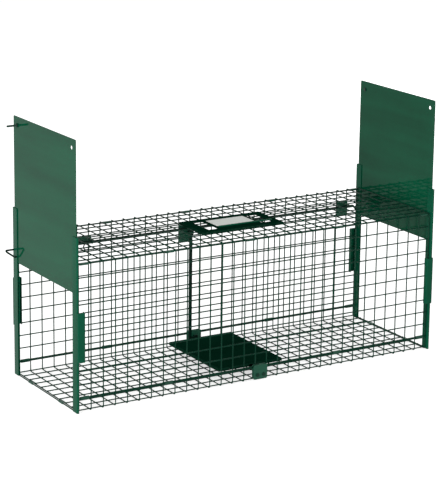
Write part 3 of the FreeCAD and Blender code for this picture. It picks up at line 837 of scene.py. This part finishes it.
low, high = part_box("rod_peg_block")
half = 3.1 * MM
outline = round_corners(rod_y - half, rod_y + half, ROD_Z - half, ROD_Z + half, (0.6 * MM,) * 4, 4)
verts, faces = plate(outline, [hole(rod_y, ROD_Z, 2 * ROD_R)], high.x - low.x, 0.3 * MM,
                     lambda q, h: Vector((low.x + h, q.x, q.y)))
wire([Vector((LEVER_X, rod_y - half + 0.4 * MM, ROD_Z)), Vector((LEVER_X, low.y, ROD_Z))], PEG_R,
     verts, faces, sides=16)
piece("peg_block", verts, faces, SCREW_GREEN, "trigger", ["rod_peg_block"], smooth=30)


# Rod guides: three small plates hook over a long wire of the back wall, and the rod runs through an
# ear turned in at one side of each.

ROD_GUIDE_T, ROD_GUIDE_BEND = 1.2 * MM, 0.9 * MM
ROD_EAR_HALF, ROD_EAR_CORNER, ROD_EAR_HOLE = 5 * MM, 2.5 * MM, 3.7 * MM
inside = long_y - WIRE_R
for name in ("rod_guide_left", "rod_guide_centre", "rod_guide_right"):
    low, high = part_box(name)
    t = ROD_GUIDE_T
    line = flat_points([(inside - t / 2, low.z), (inside - t / 2, high.z - t / 2),
                        (high.y, high.z - t / 2)], ROD_GUIDE_BEND)
    verts, faces = strip(line, t, Y, Z, X * low.x, X * (high.x - low.x))
    ear_x = low.x if name.endswith("right") else high.x - t
    outline = round_corners(low.y, inside - 0.3 * MM, ROD_Z - ROD_EAR_HALF, ROD_Z + ROD_EAR_HALF,
                            (ROD_EAR_CORNER, 0, 0, ROD_EAR_CORNER))
    add(plate(outline, [hole(rod_y, ROD_Z, ROD_EAR_HOLE)], t, 0.25 * MM,
              lambda q, h: Vector((ear_x + h, q.x, q.y))), verts, faces)
    piece(name.replace("rod_guide", "rod_eye"), verts, faces, BRACKET_GREEN, "cage",
          [name], smooth=16)


# Guide ring: a small split ring of mesh wire hangs from the left rod guide's plate, on the inside
# of the back wall. It is bent round and left open a little where its ends meet.

RING_R, RING_WIRE = 6.2 * MM, 1.25 * MM
RING_STEP = 0.8 * MM  # one end lies this far beside the other
low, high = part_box("rod_guide_left")
centre = Vector((low.x + 17 * MM, inside - 1.1 * MM, low.z - RING_R + 0.5 * MM))
loop = []
for k in range(33):
    a = math.radians(100 + k / 32 * 345)
    loop.append(centre + Vector((RING_R * math.cos(a), -RING_STEP * k / 32, RING_R * math.sin(a))))
verts, faces = [], []
wire(loop, RING_WIRE, verts, faces)
piece("split_ring", verts, faces, ROD_GREEN, "cage", smooth=40)


# Handle: the carrying plate sits on the middle of the top mesh, its edges folded down and its end
# tabs turned under two cross wires. Fingers go through the two slots, over the grip between them,
# and a thin bar is welded along the grip's front.

# Painted shade: the handle's colour is the doors' green coat made about three times darker,
# standing in for the dim light on its up-facing plate.
HANDLE_SHADED_GREEN = coat("handle coat with painted shade", (0.001, 0.018, 0.009), gloss=0.28, specular=0.0, mottle=0.1,
                    wear=0.3, edge=0.5)
SLOT_X, FINGER_HALF, SLOT_CORNER = 61 * MM, 11 * MM, 6 * MM
SLOT_FRONT, SLOT_BACK = -45 * MM, 21 * MM
TAB_CELLS, TAB_WIDE, TAB_TURN = (-1.5, 0.5), 12 * MM, 7 * MM
BAR_LEFT, BAR_RIGHT, BAR_Y, BAR_R = -43 * MM, 78 * MM, -35.5 * MM, 1.6 * MM
low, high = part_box("handle_plate")
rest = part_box("top_panel")[1].z
half = SHEET / 2
slots = [round_corners(x - FINGER_HALF, x + FINGER_HALF, SLOT_FRONT, SLOT_BACK,
                       (SLOT_CORNER,) * 4, 8)[::-1] for x in (-SLOT_X, SLOT_X)]
verts, faces = folded_pan(low.x, high.x, low.y, high.y, high.z, high.z - rest, 1.6 * MM, 2.0 * MM,
                          slots)
tab = flat_points([(high.x - half, rest + 1.0 * MM), (high.x - half, low.z + half),
                   (high.x - TAB_TURN, low.z + half)], 0.7 * MM)
for side in (-1, 1):
    for cell in TAB_CELLS:
        add(strip(tab, SHEET, X * side, Z, Y * (cell * PITCH - TAB_WIDE / 2), Y * TAB_WIDE),
            verts, faces)
piece("carrying_plate", verts, faces, HANDLE_SHADED_GREEN, "cage", ["handle_plate"],
      rim=rim_of(Z), smooth=20)

bar_z = high.z + BAR_R * 0.7
verts, faces = [], []
wire([Vector((BAR_LEFT, BAR_Y, bar_z)), Vector((BAR_RIGHT, BAR_Y, bar_z))], BAR_R, verts, faces,
     sides=16, dome=0.8)
piece("grip_bar", verts, faces, GUIDE_GREEN, "cage", smooth=40)


# Label plate: a thin white plate with round corners, stuck flat on the grip between the two finger
# slots. It is bare.

LABEL_WHITE = coat("label white", (0.63, 0.66, 0.62), gloss=0.34, specular=0.1, mottle=0.02,
                   peel=0.3, wear=0.08, edge=0.1)
LABEL_CORNER = 2 * MM
low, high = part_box("label_plate")
outline = round_corners(low.x, high.x, low.y, high.y, (LABEL_CORNER,) * 4)
verts, faces = plate(outline, [], high.z - low.z, 0.2 * MM,
                     lambda q, h: Vector((q.x, q.y, low.z + h)))
piece("label_blank", verts, faces, LABEL_WHITE, "cage", ["label_plate"],
      rim=rim_of(Z), smooth=12)


# Floor, lamps and camera: a pale floor that shows white to the eye and keeps the trap's shadow, a
# white surround, and four soft lamps, two low ones in front and at the left, one overhead, and one
# to fill the right end.

FLOOR_HALF, FLOOR_Z = 30, -0.0002


def direct_rays(n, link):
    """1 for rays from the eye, off a gloss or through glass, and 0 for rays that light things."""
    path = n.new("ShaderNodeLightPath")
    rays = path.outputs["Is Camera Ray"]
    for other in ("Is Glossy Ray", "Is Transmission Ray"):
        larger = n.new("ShaderNodeMath")
        larger.operation = "MAXIMUM"
        link(rays, larger.inputs[0])
        link(path.outputs[other], larger.inputs[1])
        rays = larger.outputs[0]
    return rays


corners = [(x * FLOOR_HALF, y * FLOOR_HALF, FLOOR_Z)
           for x, y in ((-1, -1), (1, -1), (1, 1), (-1, 1))]
floor_mesh = bpy.data.meshes.new("floor")
floor_mesh.from_pydata(corners, [], [(0, 1, 2, 3)])
floor = bpy.data.objects.new("floor", floor_mesh)
bpy.context.scene.collection.objects.link(floor)
paper = bpy.data.materials.new("floor paper")
paper.use_nodes = True
n, link = paper.node_tree.nodes, paper.node_tree.links.new
shader = n["Principled BSDF"]
shader.inputs["Base Color"].default_value = (0.8, 0.8, 0.8, 1)
shader.inputs["Roughness"].default_value = 0.9
shader.inputs["Specular IOR Level"].default_value = 0.0
shader.inputs["Emission Color"].default_value = (1, 1, 1, 1)
far = n.new("ShaderNodeVectorMath")
far.operation = "LENGTH"
link(n.new("ShaderNodeTexCoord").outputs["Object"], far.inputs[0])
fade = n.new("ShaderNodeMapRange")
link(far.outputs["Value"], fade.inputs["Value"])
for key, value in (("From Min", 0.9), ("From Max", 3.5), ("To Min", 0.62), ("To Max", 0.78)):
    fade.inputs[key].default_value = value
lift = n.new("ShaderNodeMath")
lift.operation = "MULTIPLY"
link(direct_rays(n, link), lift.inputs[0])
link(fade.outputs["Result"], lift.inputs[1])
link(lift.outputs[0], shader.inputs["Emission Strength"])
floor_mesh.materials.append(paper)

world = bpy.data.worlds.new("surround")
bpy.context.scene.world = world
world.use_nodes = True
n, link = world.node_tree.nodes, world.node_tree.links.new
back = n["Background"]
back.inputs["Color"].default_value = (1, 1, 1, 1)
strength = n.new("ShaderNodeMapRange")
link(direct_rays(n, link), strength.inputs["Value"])
strength.inputs["To Min"].default_value = 0.28
strength.inputs["To Max"].default_value = 1.0
link(strength.outputs["Result"], back.inputs["Strength"])


def lamp(name, at, aim, size, power):
    """A round soft lamp."""
    light = bpy.data.lights.new(name, "AREA")
    light.shape = "DISK"
    light.size = size
    light.energy = power
    obj = bpy.data.objects.new(name, light)
    bpy.context.scene.collection.objects.link(obj)
    obj.location = at
    obj.rotation_euler = (Vector(aim) - Vector(at)).to_track_quat("-Z", "Y").to_euler()


lamp("left softbox", at=(-3.4, -1.2, 0.9), aim=(0, 0, 0.3), size=2.0, power=88)
lamp("front softbox", at=(-1.5, -3.7, 1.0), aim=(-0.1, 0, 0.2), size=1.8, power=88)
lamp("overhead softbox", at=(0.3, 0.2, 3.2), aim=(0, 0, 0), size=3.0, power=25)
lamp("right fill", at=(3.2, 1.9, 1.1), aim=(0, 0, 0.2), size=2.0, power=55)

# The camera stands where the photograph was taken from, as the mesh's own cells show it.
SENSOR, PICTURE_HIGH = 36, 495
FOCUS_PIXELS, SHIFT_PIXELS = 2015.2, 60
CAMERA_AT = (-1.9943, -3.2516, 1.2595)
yaw, pitch, roll = (math.radians(a) for a in (31.224, 13.361, 0.714))
camera_data = bpy.data.cameras.new("camera")
camera = bpy.data.objects.new("camera", camera_data)
bpy.context.scene.collection.objects.link(camera)
bpy.context.scene.camera = camera
camera_data.lens = FOCUS_PIXELS * SENSOR / PICTURE_HIGH
camera_data.shift_y = -SHIFT_PIXELS / PICTURE_HIGH
camera_data.clip_end = 100
forward = Vector((math.sin(yaw) * math.cos(pitch), math.cos(yaw) * math.cos(pitch),
                  -math.sin(pitch)))
right = Vector((math.cos(yaw), -math.sin(yaw), 0))
up = right.cross(forward)
tilted_right = right * math.cos(roll) + up * math.sin(roll)
tilted_up = up * math.cos(roll) - right * math.sin(roll)
turn = Matrix((tilted_right, tilted_up, -forward)).transposed().to_4x4()
camera.matrix_world = Matrix.Translation(CAMERA_AT) @ turn

bpy.context.scene.view_settings.view_transform = "Standard"
